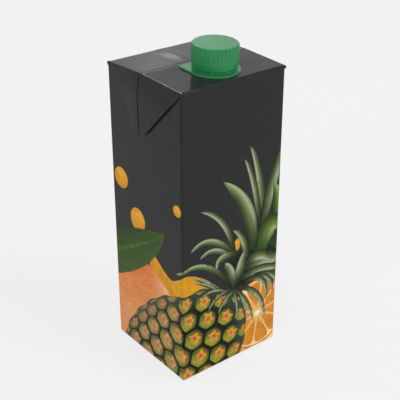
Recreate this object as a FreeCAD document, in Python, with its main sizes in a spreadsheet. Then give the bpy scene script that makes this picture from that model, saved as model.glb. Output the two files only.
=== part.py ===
import FreeCAD, Part
import os
import Sketcher

# One-litre brick carton for juice, shut, with a ribbed screw cap on a glued spout.
#
# Frame: origin at the middle of the underside, +Z up. The broad front panel faces -Y, the
# two narrower panels that carry the folded ears face -X and +X, and the seam is on +Y.

SIZES = [
    # the folded board
    ("carton_width", 77.3, "front panel, across X"),
    ("carton_depth", 72.3, "side panel, across Y"),
    ("carton_height", 195.0, "underside to the front top edge"),
    ("upright_round", 1.6, "radius of the four upright edges"),
    ("rim_round", 1.4, "radius of the front and back top edges"),
    ("base_round", 0.6, "radius of the bottom edges"),
    # top panel and its transverse seal
    ("crest_rise", 1.2, "front half of the top rises by this to the crest"),
    ("back_drop", 0.6, "back half of the top lies this far below the front edge"),
    ("crest_gap", 0.4, "crest behind the flange of the spout"),
    ("crest_roll", 2.8, "crest to the root of the seal fin"),
    ("fin_width", 9.6, "root of the seal fin to its free edge"),
    ("fin_thickness", 0.8, "two layers of board"),
    ("fin_lean", 0.8, "the fin wanders forward by this on its way down an ear"),
    ("crease_width", 0.4, "groove along the root of the fin"),
    ("crease_depth", 0.3, "groove along the root of the fin"),
    # ears of the top, folded down on the side panels
    ("ear_thickness", 0.7, "board of an ear"),
    ("ear_standoff", 1.4, "an ear stands off its panel by this along its front edge"),
    ("ear_drop", 1.5, "the slanting edges of an ear start this far below the rim"),
    ("ear_tip", 2.7, "half the width of the blunt tip of an ear"),
    ("ear_slot", 3.5, "width of the open slot under the front edge of an ear"),
    ("fold_share", 0.75, "rounding of a folded edge, as a share of the board it goes round"),
    # ears and seal of the underside
    ("foot_thickness", 1.0, "ears folded under the base, which the carton stands on"),
    ("foot_tip", 2.0, "width of the blunt tip of a folded ear under the base"),
    ("foot_gap", 3.0, "least room between the two tips under the base"),
    ("foot_inset", 1.0, "folded ears keep this far inside the base"),
    # overlap seam of the tube
    ("seam_width", 7.0, "overlap seam on the back panel"),
    ("seam_thickness", 0.4, "one layer of board"),
    # spout
    ("flange_margin", 1.5, "front top edge to the flange"),
    ("flange_rim", 3.0, "flange outside the cap"),
    ("flange_thickness", 1.0, "glued plate of the spout"),
    ("flange_corner", 3.0, "radius of the one square corner of the flange"),
    ("flange_round", 0.3, "radius of the upper edge of the flange"),
    ("neck_clearance", 0.3, "neck to the cap around it and above it"),
    ("neck_round", 0.8, "radius of the lip of the neck"),
    # cap
    ("cap_radius", 14.2, "over the ribs"),
    ("cap_height", 15.1, "tamper band to the top of the cap"),
    ("cap_wall", 1.7, "from the tips of the ribs to the bore"),
    ("cap_roof", 1.4, "thickness of the top of the cap"),
    ("cap_round", 0.7, "radius of the upper edge of the cap"),
    ("cap_draft", 0.25, "barrel narrows by this from the skirt to the top"),
    ("cap_gap", 0.3, "tamper band to the flange"),
    ("skirt_height", 4.8, "smooth skirt below the ribs, with the band"),
    ("skirt_taper", 0.5, "skirt narrows by this to its foot"),
    ("rib_count", 36, "ribs round the cap"),
    ("rib_radius", 0.6, "round back of a rib"),
    ("rib_relief", 0.45, "how far a rib stands out"),
    ("band_height", 1.2, "tamper band under its slots"),
    ("slot_height", 0.4, "slots that set off the tamper band"),
    ("bridge_count", 8, "bridges that hold the tamper band"),
    ("bridge_angle", 6.0, "width of a bridge round the cap, in degrees"),
]

doc = FreeCAD.newDocument("juice_carton")
sheet = doc.addObject("Spreadsheet::Sheet", "Sizes")
for row, (alias, value, meaning) in enumerate(SIZES, start=1):
    sheet.set("A%d" % row, alias)
    sheet.set("B%d" % row, str(value))
    sheet.set("C%d" % row, meaning)
    sheet.setAlias("B%d" % row, alias)
doc.recompute()

# Places that several pieces share, each worked out from the sheet.
HALF_WIDTH = "(Sizes.carton_width / 2)"
HALF_DEPTH = "(Sizes.carton_depth / 2)"
FLANGE_RADIUS = "(Sizes.cap_radius + Sizes.flange_rim)"
CAP_Y = "(%s + Sizes.flange_margin - %s)" % (FLANGE_RADIUS, HALF_DEPTH)
CREST_Y = "(%s + %s + Sizes.crest_gap)" % (CAP_Y, FLANGE_RADIUS)
CREST_Z = "(Sizes.carton_height + Sizes.crest_rise)"
SLOPE = "(Sizes.crest_rise / (%s + %s))" % (CREST_Y, HALF_DEPTH)
ROOT_Y = "(%s + Sizes.crest_roll)" % CREST_Y
FREE_Y = "(%s + Sizes.fin_width)" % ROOT_Y
BACK_Z = "(Sizes.carton_height - Sizes.back_drop)"
FREE_Z = "(%s + Sizes.fin_thickness)" % BACK_Z
ROOT_Z = "(%s - (%s - %s) * Sizes.crest_roll / (%s - %s))" % (CREST_Z, CREST_Z, FREE_Z, FREE_Y, CREST_Y)
EDGE_Z = "(Sizes.carton_height - Sizes.ear_drop)"
TIP_Z = "(%s - %s + Sizes.ear_tip)" % (EDGE_Z, HALF_DEPTH)
EAR_SEAT = "(%s - Sizes.upright_round)" % HALF_WIDTH
EAR_FACE = "(%s + Sizes.ear_standoff + Sizes.ear_thickness)" % HALF_WIDTH
EAR_ROUND = "min(Sizes.rim_round; Sizes.fold_share * Sizes.fin_thickness)"
CAP_FOOT = "(Sizes.flange_thickness + Sizes.cap_gap)"
CAP_TOP = "(%s + Sizes.cap_height)" % CAP_FOOT
SKIRT_TOP = "(%s + Sizes.skirt_height)" % CAP_FOOT
BORE_RADIUS = "(Sizes.cap_radius - Sizes.cap_wall)"
BARREL_RADIUS = "(Sizes.cap_radius - Sizes.rib_relief)"


def number(expression):
    """Present value of an expression, as a plain number."""
    value = sheet.evalExpression(expression)
    return float(getattr(value, "Value", value))


def new_body(label):
    body = doc.addObject("PartDesign::Body", label)
    body.Label = label
    return body


def origin_feature(body, role):
    return next(f for f in body.Origin.OriginFeatures if f.Role == role)


def new_sketch(body, name, role, offset="0"):
    """Empty sketch on one of the body's own origin planes, moved along its normal."""
    sketch = body.newObject("Sketcher::SketchObject", name)
    sketch.AttachmentSupport = [(origin_feature(body, role), "")]
    sketch.MapMode = "FlatFace"
    sketch.setExpression("AttachmentOffset.Base.z", offset)
    return sketch


def hold(sketch, kind, geometry, point, expression):
    """Ties one coordinate of a sketch point to an expression."""
    index = sketch.addConstraint(
        Sketcher.Constraint(kind, -1, 1, geometry, point, number(expression)))
    sketch.setExpression("Constraints[%d]" % index, expression)


def draw_outline(sketch, corners):
    """Closed straight-sided outline with every corner tied to a pair of expressions."""
    places = [FreeCAD.Vector(number(x), number(y), 0) for x, y in corners]
    for here, there in zip(places, places[1:] + places[:1]):
        sketch.addGeometry(Part.LineSegment(here, there))
    for side, (x, y) in enumerate(corners):
        following = (side + 1) % len(corners)
        sketch.addConstraint(Sketcher.Constraint("Coincident", side, 2, following, 1))
        hold(sketch, "DistanceX", side, 1, x)
        hold(sketch, "DistanceY", side, 1, y)


def draw_circle(sketch, x, y, radius):
    centre = FreeCAD.Vector(number(x), number(y), 0)
    sketch.addGeometry(Part.Circle(centre, FreeCAD.Vector(0, 0, 1), number(radius)))
    hold(sketch, "DistanceX", 0, 3, x)
    hold(sketch, "DistanceY", 0, 3, y)
    index = sketch.addConstraint(Sketcher.Constraint("Radius", 0, number(radius)))
    sketch.setExpression("Constraints[%d]" % index, radius)


def add_pad(body, name, sketch, length, both_ways=False):
    pad = body.newObject("PartDesign::Pad", name)
    pad.Profile = sketch
    pad.Midplane = both_ways
    pad.setExpression("Length", length)
    doc.recompute()
    return pad


def add_mirror(body, name, original, role):
    """Second copy of a feature on the other side of an origin plane."""
    mirror = body.newObject("PartDesign::Mirrored", name)
    mirror.Originals = [original]
    mirror.MirrorPlane = (origin_feature(body, role), [""])
    body.Tip = mirror
    doc.recompute()
    return mirror


def add_ring_of(body, name, original, count):
    """Copies of a feature spread evenly round the body's own Z axis."""
    pattern = body.newObject("PartDesign::PolarPattern", name)
    pattern.Originals = [original]
    pattern.Axis = (origin_feature(body, "Z_Axis"), [""])
    pattern.Angle = 360
    pattern.setExpression("Occurrences", count)
    body.Tip = pattern
    doc.recompute()
    return pattern


def add_fillet(body, name, wanted, radius):
    """Rounds those edges of the body so far for which wanted(edge) is true."""
    base = body.Tip
    edges = ["Edge%d" % i for i, edge in enumerate(base.Shape.Edges, start=1) if wanted(edge)]
    if not edges:
        raise RuntimeError("no edge found for " + name)
    fillet = body.newObject("PartDesign::Fillet", name)
    fillet.Base = (base, edges)
    fillet.setExpression("Radius", radius)
    doc.recompute()
    return fillet


def near(a, b, tolerance=1e-4):
    return abs(a - b) < tolerance


def ends(edge):
    return [vertex.Point for vertex in edge.Vertexes]


def runs_along(edge, axis):
    """True for a straight edge that keeps to one of the directions x, y or z."""
    if edge.Curve.TypeId != "Part::GeomLine":
        return False
    first, last = ends(edge)
    return all(near(getattr(first, other), getattr(last, other)) for other in "xyz" if other != axis)


# --------------------------------------------------------------------------- carton

def top_line():
    """Side view of the top, front edge to back edge: slope, crest, fin and low back half."""
    return [
        ("-" + HALF_DEPTH, "Sizes.carton_height"),
        (CREST_Y, CREST_Z),
        (FREE_Y, FREE_Z),
        (FREE_Y, BACK_Z),
        (HALF_DEPTH, BACK_Z),
    ]


def top_line_from_back():
    """The same line from the back edge to the crest, to close an outline that began in front."""
    return list(reversed(top_line()[1:]))


def make_tube(body):
    """The filled board tube, drawn in side view and padded across its width."""
    side_view = new_sketch(body, "tube_side_view", "YZ_Plane")
    base = [(HALF_DEPTH, "Sizes.foot_thickness"), ("-" + HALF_DEPTH, "Sizes.foot_thickness")]
    draw_outline(side_view, top_line() + base)
    add_pad(body, "tube", side_view, "Sizes.carton_width", both_ways=True)

    half_depth = number(HALF_DEPTH)
    base_z = number("Sizes.foot_thickness")
    rim_z = number(TIP_Z)

    def upright(edge):
        return runs_along(edge, "z") and near(abs(ends(edge)[0].y), half_depth)

    def at_base(edge):
        return all(near(point.z, base_z) for point in ends(edge))

    def front_or_back_rim(edge):
        first = ends(edge)[0]
        return runs_along(edge, "x") and near(abs(first.y), half_depth) and first.z > rim_z

    add_fillet(body, "upright_edges", upright, "Sizes.upright_round")
    add_fillet(body, "bottom_edges", at_base, "Sizes.base_round")
    add_fillet(body, "rim_front_and_back", front_or_back_rim, "Sizes.rim_round")


def make_ears(body):
    """Triangular ears folded down on both side panels, standing off along the front edge."""
    front_corner = ("-" + HALF_DEPTH, "Sizes.carton_height")
    front_edge = ("-" + HALF_DEPTH, EDGE_Z)
    back_edge = (HALF_DEPTH, "%s + %s - Sizes.ear_tip" % (TIP_Z, HALF_DEPTH))
    tip_front = ("-Sizes.ear_tip", TIP_Z)
    tip_back = ("Sizes.ear_tip", TIP_Z)

    def behind_slot(corner):
        return (corner[0] + " + Sizes.ear_slot", corner[1])

    # what is stuck down: the ear without a strip along its front edge
    bond_outline = new_sketch(body, "ear_bond_outline", "YZ_Plane", EAR_SEAT)
    draw_outline(bond_outline, [
        front_corner, front_edge, behind_slot(front_edge), behind_slot(tip_front),
        tip_back, back_edge,
    ] + top_line_from_back())
    bond = add_pad(body, "ear_bond", bond_outline,
                   "Sizes.upright_round + Sizes.ear_standoff")
    add_mirror(body, "ear_bonds", bond, "YZ_Plane")

    ear_outline = new_sketch(body, "ear_outline", "YZ_Plane", HALF_WIDTH + " + Sizes.ear_standoff")
    draw_outline(ear_outline, [
        front_corner, front_edge, tip_front, tip_back, back_edge,
    ] + top_line_from_back())
    ear = add_pad(body, "ear", ear_outline, "Sizes.ear_thickness")
    add_mirror(body, "ears", ear, "YZ_Plane")

    face = number(EAR_FACE)
    lowest = number(BACK_Z + " - Sizes.rim_round")

    def ear_rim(edge):
        first, last = ends(edge)
        outside = near(abs(first.x), face) and near(first.x, last.x)
        return outside and first.z > lowest and last.z > lowest and not runs_along(edge, "z")

    add_fillet(body, "ear_rims", ear_rim, EAR_ROUND)


def make_fin(body):
    """The seal fin: a crease across the top at its root, and a strip down each ear."""
    crease = new_sketch(body, "crease_section", "YZ_Plane")
    before = "%s - Sizes.crease_width" % ROOT_Y
    draw_outline(crease, [
        (before, "%s - Sizes.crease_depth" % ROOT_Z),
        (ROOT_Y, "%s - Sizes.crease_depth" % ROOT_Z),
        (ROOT_Y, "%s + Sizes.fin_thickness" % ROOT_Z),
        (before, "%s + Sizes.fin_thickness" % ROOT_Z),
    ])
    groove = body.newObject("PartDesign::Pocket", "crease")
    groove.Profile = crease
    groove.Midplane = True
    groove.setExpression("Length", "2 * (%s + Sizes.fin_thickness)" % EAR_FACE)
    doc.recompute()

    strip_outline = new_sketch(body, "fin_strip_outline", "YZ_Plane", EAR_SEAT)
    draw_outline(strip_outline, [
        (ROOT_Y, ROOT_Z),
        (FREE_Y, FREE_Z),
        (FREE_Y + " - Sizes.fin_lean", TIP_Z),
        (ROOT_Y + " - Sizes.fin_lean", TIP_Z),
    ])
    strip = add_pad(body, "fin_strip", strip_outline,
                    "%s + Sizes.fin_thickness - %s" % (EAR_FACE, EAR_SEAT))
    add_mirror(body, "fin_strips", strip, "YZ_Plane")

    face = number(EAR_FACE + " + Sizes.fin_thickness")
    lowest = number(BACK_Z)

    def strip_rim(edge):
        return all(near(abs(point.x), face) and point.z > lowest for point in ends(edge))

    add_fillet(body, "strip_rims", strip_rim, EAR_ROUND)


def make_underside(body):
    """Seal fin flat on the base and the two ears folded in over it, which carry the carton."""
    fin_outline = new_sketch(body, "base_fin_outline", "XY_Plane",
                             "Sizes.foot_thickness - Sizes.fin_thickness")
    reach = "%s - Sizes.foot_inset" % HALF_WIDTH
    draw_outline(fin_outline, [
        ("-(%s)" % reach, "0"), (reach, "0"), (reach, "Sizes.fin_width"),
        ("-(%s)" % reach, "Sizes.fin_width"),
    ])
    add_pad(body, "base_fin", fin_outline, "Sizes.fin_thickness")

    length = "min(%s; %s - Sizes.foot_gap / 2)" % (HALF_DEPTH, HALF_WIDTH)
    tip_x = "%s - %s" % (HALF_WIDTH, length)
    tip_y = "%s - %s + Sizes.foot_tip / 2" % (HALF_DEPTH, length)
    side_y = "%s - Sizes.foot_inset" % HALF_DEPTH
    foot_outline = new_sketch(body, "foot_outline", "XY_Plane")
    draw_outline(foot_outline, [
        (reach, "-(%s)" % side_y), (reach, side_y), (tip_x, tip_y), (tip_x, "-(%s)" % tip_y),
    ])
    foot = add_pad(body, "foot", foot_outline, "Sizes.foot_thickness")
    add_mirror(body, "feet", foot, "YZ_Plane")


def make_seam(body):
    """Overlap seam that closes the tube, down the middle of the back panel."""
    seam_plan = new_sketch(body, "seam_plan", "XY_Plane",
                           "Sizes.foot_thickness + Sizes.base_round")
    half = "Sizes.seam_width / 2"
    inner = "%s - Sizes.seam_thickness" % HALF_DEPTH
    outer = "%s + Sizes.seam_thickness" % HALF_DEPTH
    draw_outline(seam_plan, [("-" + half, inner), (half, inner), (half, outer), ("-" + half, outer)])
    add_pad(body, "seam", seam_plan,
            "%s - Sizes.rim_round - Sizes.foot_thickness - Sizes.base_round" % BACK_Z)


def make_carton():
    body = new_body("carton")
    make_tube(body)
    make_ears(body)
    make_fin(body)
    make_underside(body)
    make_seam(body)
    return body


# --------------------------------------------------------------------------- spout and cap

def seat_on_top(body):
    """Stands a body's own origin on the sloping front half of the top, square to it."""
    body.Placement = FreeCAD.Placement(
        FreeCAD.Vector(), FreeCAD.Rotation(FreeCAD.Vector(1, 0, 0), 1))
    body.setExpression("Placement.Rotation.Angle", "atan(%s)" % SLOPE)
    body.setExpression("Placement.Base.y", CAP_Y)
    body.setExpression("Placement.Base.z",
                       "Sizes.carton_height + %s * (%s + %s)" % (SLOPE, CAP_Y, HALF_DEPTH))


def make_spout():
    """Glued flange, round with one square corner, and the neck that the cap is screwed on."""
    body = new_body("spout")
    disc = new_sketch(body, "flange_circle", "XY_Plane")
    draw_circle(disc, "0", "0", FLANGE_RADIUS)
    add_pad(body, "flange_disc", disc, "Sizes.flange_thickness")

    square = new_sketch(body, "flange_square", "XY_Plane")
    draw_outline(square, [
        ("0", "0"), ("0", FLANGE_RADIUS), ("-" + FLANGE_RADIUS, FLANGE_RADIUS),
        ("-" + FLANGE_RADIUS, "0"),
    ])
    add_pad(body, "flange_quarter", square, "Sizes.flange_thickness")

    radius = number(FLANGE_RADIUS)
    top = number("Sizes.flange_thickness")

    def square_corner(edge):
        first = ends(edge)[0]
        return runs_along(edge, "z") and near(first.x, -radius) and near(first.y, radius)

    def upper_edge(edge):
        return all(near(point.z, top) for point in ends(edge))

    add_fillet(body, "flange_corner", square_corner, "Sizes.flange_corner")
    add_fillet(body, "flange_edge", upper_edge, "Sizes.flange_round")

    neck = new_sketch(body, "neck_circle", "XY_Plane")
    draw_circle(neck, "0", "0", "%s - Sizes.neck_clearance" % BORE_RADIUS)
    neck_height = "%s - Sizes.cap_roof - Sizes.neck_clearance" % CAP_TOP
    add_pad(body, "neck", neck, neck_height)
    lip = number(neck_height)
    add_fillet(body, "neck_lip", lambda edge: all(near(p.z, lip) for p in ends(edge)),
               "Sizes.neck_round")
    seat_on_top(body)
    return body


def make_cap():
    """Screw cap: a drafted shell with ribs, a tapering skirt and a slotted tamper band."""
    body = new_body("cap")
    wall = new_sketch(body, "cap_section", "XZ_Plane")
    draw_outline(wall, [
        (BORE_RADIUS, CAP_FOOT),
        ("%s - Sizes.skirt_taper" % BARREL_RADIUS, CAP_FOOT),
        (BARREL_RADIUS, SKIRT_TOP),
        ("%s - Sizes.cap_draft" % BARREL_RADIUS, CAP_TOP),
        ("0", CAP_TOP),
        ("0", "%s - Sizes.cap_roof" % CAP_TOP),
        (BORE_RADIUS, "%s - Sizes.cap_roof" % CAP_TOP),
    ])
    shell = body.newObject("PartDesign::Revolution", "cap_shell")
    shell.Profile = wall
    shell.ReferenceAxis = (wall, ["V_Axis"])
    shell.Angle = 360
    doc.recompute()
    top = number(CAP_TOP)
    add_fillet(body, "cap_edge", lambda edge: all(near(p.z, top) for p in ends(edge)),
               "Sizes.cap_round")

    rib_circle = new_sketch(body, "rib_circle", "XY_Plane", SKIRT_TOP)
    draw_circle(rib_circle, "Sizes.cap_radius - Sizes.rib_radius", "0", "Sizes.rib_radius")
    rib = add_pad(body, "rib", rib_circle,
                  "Sizes.cap_height - Sizes.skirt_height - Sizes.cap_round")
    add_ring_of(body, "ribs", rib, "Sizes.rib_count")

    slot_section = new_sketch(body, "slot_section", "XZ_Plane")
    slot_foot = "%s + Sizes.band_height" % CAP_FOOT
    inside = "%s - Sizes.neck_clearance" % BORE_RADIUS
    draw_outline(slot_section, [
        (inside, slot_foot),
        ("Sizes.cap_radius", slot_foot),
        ("Sizes.cap_radius", slot_foot + " + Sizes.slot_height"),
        (inside, slot_foot + " + Sizes.slot_height"),
    ])
    slot = body.newObject("PartDesign::Groove", "slot")
    slot.Profile = slot_section
    slot.ReferenceAxis = (slot_section, ["V_Axis"])
    slot.setExpression("Angle", "360 / Sizes.bridge_count - Sizes.bridge_angle")
    doc.recompute()
    add_ring_of(body, "slots", slot, "Sizes.bridge_count")
    seat_on_top(body)
    return body


pieces = [make_carton(), make_spout(), make_cap()]
doc.recompute()

for item in doc.Objects:
    if "Invalid" in item.State or "Error" in item.State:
        raise RuntimeError("%s did not build: %s" % (item.Label, item.State))
for piece in pieces:
    if piece.Shape.isNull() or not piece.Shape.isValid() or len(piece.Shape.Solids) != 1:
        raise RuntimeError("%s is not one valid solid" % piece.Label)

os.makedirs("parts", exist_ok=True)
for piece in pieces:
    piece.Shape.exportStep("parts/%s.step" % piece.Label)
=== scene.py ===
import math

import bmesh
import bpy
import numpy as np
from mathutils import Matrix, Vector
from mathutils.geometry import delaunay_2d_cdt


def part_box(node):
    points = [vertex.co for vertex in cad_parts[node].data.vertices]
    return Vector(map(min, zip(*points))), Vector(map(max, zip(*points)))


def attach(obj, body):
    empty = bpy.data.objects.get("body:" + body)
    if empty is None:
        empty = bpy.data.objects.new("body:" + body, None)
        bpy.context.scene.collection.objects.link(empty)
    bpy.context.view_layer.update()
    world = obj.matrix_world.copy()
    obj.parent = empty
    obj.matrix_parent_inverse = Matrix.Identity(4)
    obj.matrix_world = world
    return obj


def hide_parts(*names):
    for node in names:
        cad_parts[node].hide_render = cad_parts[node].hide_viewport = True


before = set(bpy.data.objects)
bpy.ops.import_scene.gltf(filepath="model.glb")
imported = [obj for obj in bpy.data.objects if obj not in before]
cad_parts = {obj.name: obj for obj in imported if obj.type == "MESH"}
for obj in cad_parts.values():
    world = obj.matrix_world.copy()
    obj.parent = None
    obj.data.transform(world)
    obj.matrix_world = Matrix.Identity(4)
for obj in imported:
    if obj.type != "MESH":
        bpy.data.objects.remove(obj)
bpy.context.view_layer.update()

# A shut juice carton. Lengths are millimetres where a comment doesn't say metres.

MM = 0.001

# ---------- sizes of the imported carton

BOARD_LOW, BOARD_HIGH = (Vector(corner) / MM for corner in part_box("carton"))
FIN_PROUD = 2.9  # the fin strips stand this far off the side panels
SEAM_THICKNESS = 0.4  # the back seam stands this far off the back panel
SEAM_HALF = 3.5  # half the width of the back seam
UPRIGHT_ROUND = 1.6  # radius of the upright edges
UPRIGHT_STEPS = 11  # straight pieces round an upright edge
BASE_Z = 1.0  # the carton's own underside, above the folded ears it stands on
BASE_ROUND = 0.6  # radius of the bottom edges
RIM_Z = 195.0  # front top edge
SLEEVE_TOP = 154.0  # the printed sleeve ends here, under the tips of the ears

HALF_WIDTH = BOARD_HIGH.x - FIN_PROUD
HALF_DEPTH = -BOARD_LOW.y
WIDTH, DEPTH = 2 * HALF_WIDTH, 2 * HALF_DEPTH
GIRTH = 2 * (WIDTH + DEPTH)
SLEEVE_FOOT = -BASE_ROUND * math.pi / 2  # the sleeve runs on round the bottom edge

# ---------- camera, floor and light

VIEW_AZIMUTH = -38.388  # degrees round the carton, 0 looks at the front panel
VIEW_ELEVATION = 27.418  # degrees above the floor
VIEW_DISTANCE = 0.57675  # metres from the middle of the carton
VIEW_RIGHT = 0.002466  # metres that the camera is then moved to its right
VIEW_UP = 0.005520  # and up
LENS, SENSOR = 81.20, 36

WORLD = 0.50  # grey of the plain light from all sides
FLOOR_HALF = 6  # metres from the middle of the floor to its edge
FLOOR_COLOUR = 0.91  # grey of the floor, and what the camera sees of it and beyond it
FLOOR_SHARE = 0.85  # share of that grey which doesn't depend on the light
FLOOR_GLOSSY = 0.3  # how fully glossy surfaces see the floor as the camera does

# each lamp's direction from the carton, its distance and size in metres, and its watts
LAMPS = {
    "key": ((0.9, -1.6, 1.8), 2.4, 1.2, 21),
    "rim": ((0.42, 0.68, 0.60), 1.3, 0.2, 1.3),
    "band": ((0.515, 0.781, 0.354), 1.339, 0.09, 0.035),
    "fill": ((-1.5, -0.4, 0.7), 2.4, 1.2, 13),
}
LAMP_AIM = Vector((0, 0, 0.12))


def add_object(name, data):
    """An object of the scene with this mesh, lamp or camera in it."""
    made = bpy.data.objects.new(name, data)
    bpy.context.scene.collection.objects.link(made)
    return made


def make_camera():
    azimuth = math.radians(VIEW_AZIMUTH)
    elevation = math.radians(VIEW_ELEVATION)
    back = Vector((math.sin(azimuth) * math.cos(elevation),
                   -math.cos(azimuth) * math.cos(elevation),
                   math.sin(elevation)))
    right = Vector((math.cos(azimuth), math.sin(azimuth), 0))
    up = back.cross(right)
    data = bpy.data.cameras.new("camera")
    data.lens = LENS
    data.sensor_width = SENSOR
    camera = add_object("camera", data)
    place = Matrix((right, up, back)).transposed().to_4x4()
    middle = Vector((0, 0, RIM_Z * MM / 2))
    place.translation = middle + back * VIEW_DISTANCE + right * VIEW_RIGHT + up * VIEW_UP
    camera.matrix_world = place
    bpy.context.scene.camera = camera


def grey(value):
    return (value, value, value, 1)


def mix_by_ray(tree, lit, plain, seen_share, glossy_share):
    """Mixes two shaders. The shares say how much of plain the camera and glossy surfaces see."""
    path = tree.nodes.new("ShaderNodeLightPath")
    both = tree.nodes.new("ShaderNodeMixShader")
    share = None
    for ray, part in (("Is Camera Ray", seen_share), ("Is Transmission Ray", seen_share),
                      ("Is Glossy Ray", glossy_share)):
        node = tree.nodes.new("ShaderNodeMath")
        node.operation = "MULTIPLY_ADD"
        node.inputs[1].default_value = part
        node.inputs[2].default_value = 0
        tree.links.new(path.outputs[ray], node.inputs[0])
        if share:
            tree.links.new(share, node.inputs[2])
        share = node.outputs[0]
    for output, target in zip((share, lit.outputs[0], plain.outputs[0]), both.inputs):
        tree.links.new(output, target)
    return both.outputs[0]


def make_floor():
    """A wide pale floor. The camera and glossy surfaces see mostly its plain grey."""
    mesh = bpy.data.meshes.new("floor")
    mesh.from_pydata([(x * FLOOR_HALF, y * FLOOR_HALF, 0)
                      for x, y in ((-1, -1), (1, -1), (1, 1), (-1, 1))], [], [(0, 1, 2, 3)])
    floor = add_object("floor", mesh)
    material = bpy.data.materials.new("floor")
    material.use_nodes = True
    tree = material.node_tree
    shader = tree.nodes["Principled BSDF"]
    shader.inputs["Base Color"].default_value = grey(FLOOR_COLOUR)
    shader.inputs["Roughness"].default_value = 1
    shader.inputs["Specular IOR Level"].default_value = 0
    plain = tree.nodes.new("ShaderNodeEmission")
    plain.inputs["Color"].default_value = grey(FLOOR_COLOUR)
    both = mix_by_ray(tree, shader, plain, FLOOR_SHARE, FLOOR_SHARE * FLOOR_GLOSSY)
    tree.links.new(both, tree.nodes["Material Output"].inputs["Surface"])
    mesh.materials.append(material)


def make_lamps():
    """Round soft lamps that look at the carton."""
    for name, (direction, distance, size, power) in LAMPS.items():
        data = bpy.data.lights.new(name, "AREA")
        data.shape = "DISK"
        data.size = size
        data.energy = power
        lamp = add_object(name, data)
        lamp.visible_camera = False
        lamp.location = LAMP_AIM + Vector(direction).normalized() * distance
        lamp.rotation_euler = (LAMP_AIM - lamp.location).to_track_quat("-Z", "Y").to_euler()


def make_world():
    """Plain light from all sides, and the pale backdrop that is seen instead of it."""
    world = bpy.data.worlds.new("studio")
    world.use_nodes = True
    tree = world.node_tree
    light = tree.nodes["Background"]
    light.inputs["Color"].default_value = grey(WORLD)
    backdrop = tree.nodes.new("ShaderNodeBackground")
    backdrop.inputs["Color"].default_value = grey(FLOOR_COLOUR)
    both = mix_by_ray(tree, light, backdrop, 1, 1)
    tree.links.new(both, tree.nodes["World Output"].inputs["Surface"])
    bpy.context.scene.world = world
    bpy.context.scene.view_settings.view_transform = "Standard"


# ---------- small helpers

GLOSS_GREY = 0.030  # light that the gloss of the laminate adds to every ink
GLOSS_KEPT = 0.95  # share of an ink's own light that comes through
INK_DARKEST = 0.003  # no ink is blacker than this


def clamp(value, low=0.0, high=1.0):
    return max(low, min(high, value))


def smooth(low, high, value):
    """0 below low, 1 above high, and an even curve between."""
    t = clamp((value - low) / (high - low))
    return t * t * (3 - 2 * t)


def mix(a, b, share):
    return tuple(x + (y - x) * share for x, y in zip(a, b))


def linear(red, green, blue):
    """A colour as it looks on screen, 0 to 255, as the linear light a shader wants."""
    def channel(value):
        value /= 255
        return value / 12.92 if value <= 0.04045 else ((value + 0.055) / 1.055) ** 2.4
    return (channel(red), channel(green), channel(blue))


def ink(red, green, blue):
    """The ink that looks like this colour under the laminate, whose gloss adds a little grey."""
    return tuple(max((value - GLOSS_GREY) / GLOSS_KEPT, INK_DARKEST)
                 for value in linear(red, green, blue))


def wave(seed, place):
    """A smooth uneven line between about -1 and 1, the same in every run."""
    return (0.5 * math.sin(1.0 * place + 1.7 * seed) + 0.3 * math.sin(2.3 * place + 4.1 * seed)
            + 0.2 * math.sin(5.1 * place + 2.9 * seed))


def bezier(first, bend, last, u):
    """Place at u, from 0 to 1, on a curve with one bend."""
    return tuple((1 - u) ** 2 * a + 2 * u * (1 - u) * b + u * u * c
                 for a, b, c in zip(first, bend, last))


# ---------- the print
#
# It is drawn on the unrolled panels. s runs round the carton from the front left upright edge,
# over the front panel to the right, and z is the height. The design repeats after two panels.

BLACK = linear(30, 30, 31)


class Shape:
    """A printed field: its outline, and points inside that carry its shading.

    local gives its own coordinates of a place s, z, and shade the colour at those.
    """

    def __init__(self, kind, outline, inside, local, shade):
        self.kind, self.outline, self.inside = kind, outline, inside
        self.local, self.shade = local, shade


def across_line(place, u):
    """Direction across a line at u, to the left of the way it runs."""
    (s0, z0), (s1, z1) = place(u - 0.01), place(u + 0.01)
    length = math.hypot(s1 - s0, z1 - z0)
    return -(z1 - z0) / length, (s1 - s0) / length


def nearest_on(place, s, z, last, tries):
    """How far along a line its nearest point lies."""
    def gap(u):
        return math.dist((s, z), place(u))
    rough = min((last * i / tries for i in range(tries + 1)), key=gap)
    return min((clamp(rough + last * k / (8 * tries), 0, last) for k in range(-8, 9)), key=gap)


def clip_to(outline, side):
    """The part of an outline where side(s, z) is above zero."""
    kept = []
    for a, b in zip(outline, outline[1:] + outline[:1]):
        from_a, from_b = side(*a), side(*b)
        if from_a > 0:
            kept.append(a)
        if (from_a > 0) != (from_b > 0):
            kept.append(mix(a, b, from_a / (from_a - from_b)))
    return kept


# middle, pale and dark green of a blade of the crown, greyish and fresh
GREYISH = (ink(112, 122, 88), ink(192, 198, 174), ink(46, 54, 40))
FRESH = (ink(102, 130, 64), ink(166, 186, 122), ink(42, 62, 30))
BLADE_STEPS = 14


def along_leaf(curve, half_at, last, tries, least=0):
    """Two functions: the place at u and a share of the half width, and the other way round.

    half_at(u, side) is the half width on the side that the sign of side says.
    """
    def place(u):
        return bezier(*curve, u)

    def at(u, share):
        p, n, reach = place(u), across_line(place, u), share * half_at(u, share)
        return p[0] + reach * n[0], p[1] + reach * n[1]

    def local(s, z):
        u = nearest_on(place, s, z, last, tries)
        p, n = place(u), across_line(place, u)
        gap = (s - p[0]) * n[0] + (z - p[1]) * n[1]
        return u, clamp(gap / max(half_at(u, gap), least), -1, 1)

    return at, local


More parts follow.
